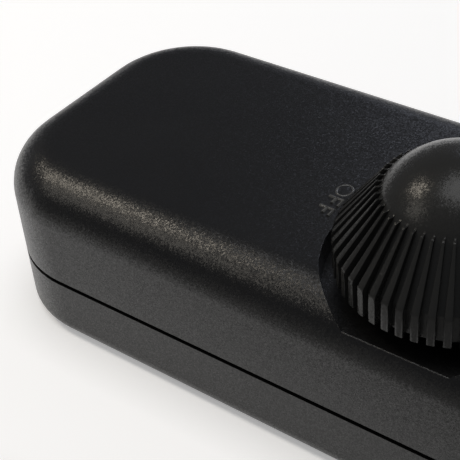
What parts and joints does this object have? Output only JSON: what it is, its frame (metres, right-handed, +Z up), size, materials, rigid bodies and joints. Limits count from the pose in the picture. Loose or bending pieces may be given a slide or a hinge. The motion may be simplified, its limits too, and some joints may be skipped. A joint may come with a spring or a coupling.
{
  "type": "rotary cord dimmer",
  "caption": "In-line lamp dimmer for a cord: a long rounded two-shell housing with a fluted conical turn knob in a recess near one long side.",
  "frame": {"origin": "middle of the housing's underside", "axes": "+X along the housing from the cord inlet towards the lamp side, -Y towards the long side nearest the knob, +Z up along the knob's axis"},
  "size_m": [0.136, 0.046, 0.0415],
  "materials": {
    "housing_plastic": "fine grained moulding, black",
    "knob_plastic": "smooth satin moulding, black",
    "gland_rubber": "matt black",
    "screw_steel": "zinc plated",
    "clamp_plastic": "black",
    "board_laminate": "bare laminate",
    "terminal_plastic": "grey",
    "control_plastic": "dark blue",
    "track_laminate": "brown",
    "contact_brass": "bright",
    "shaft_nylon": "natural white",
    "triac_epoxy": "black",
    "heat_sink_aluminium": "mill finish",
    "choke_ferrite": "dark grey",
    "winding_copper": "enamelled",
    "capacitor_film": "yellow",
    "resistor_lacquer": "beige",
    "diac_glass": "blue",
    "fuse_glass": "clear"
  },
  "bodies": {
    "housing": {"top_cover": "housing_plastic", "bottom_cover": "housing_plastic", "housing_screws": "screw_steel", "cord_gland_in": "gland_rubber", "cord_gland_out": "gland_rubber", "cord_clamp_in": "clamp_plastic", "cord_clamp_out": "clamp_plastic", "clamp_screws": "screw_steel", "circuit_board": "board_laminate", "board_screws": "screw_steel", "terminal_block_in": "terminal_plastic", "terminal_block_out": "terminal_plastic", "terminal_screws": "screw_steel", "potentiometer_case": "control_plastic", "resistance_track": "track_laminate", "switch_case": "control_plastic", "switch_contacts": "contact_brass", "potentiometer_pins": "contact_brass", "triac": "triac_epoxy", "heat_sink": "heat_sink_aluminium", "heat_sink_screw": "screw_steel", "heat_sink_nut": "screw_steel", "choke_core": "choke_ferrite", "choke_winding": "winding_copper", "film_capacitor": "capacitor_film", "timing_capacitor": "capacitor_film", "diac": "diac_glass", "resistors": "resistor_lacquer", "fuse_tube": "fuse_glass", "fuse_caps": "contact_brass", "fuse_clips": "contact_brass"},
    "control": {"knob": "knob_plastic", "potentiometer_shaft": "shaft_nylon", "wiper_disc": "control_plastic", "switch_cam": "shaft_nylon"}
  },
  "joints": [
    {"name": "knob_turn", "type": "hinge", "parent": "housing", "child": "control", "pos_m": [0, -0.0074, 0.026], "axis": [0, 0, -1], "range_deg": [0, 290]}
  ]
}
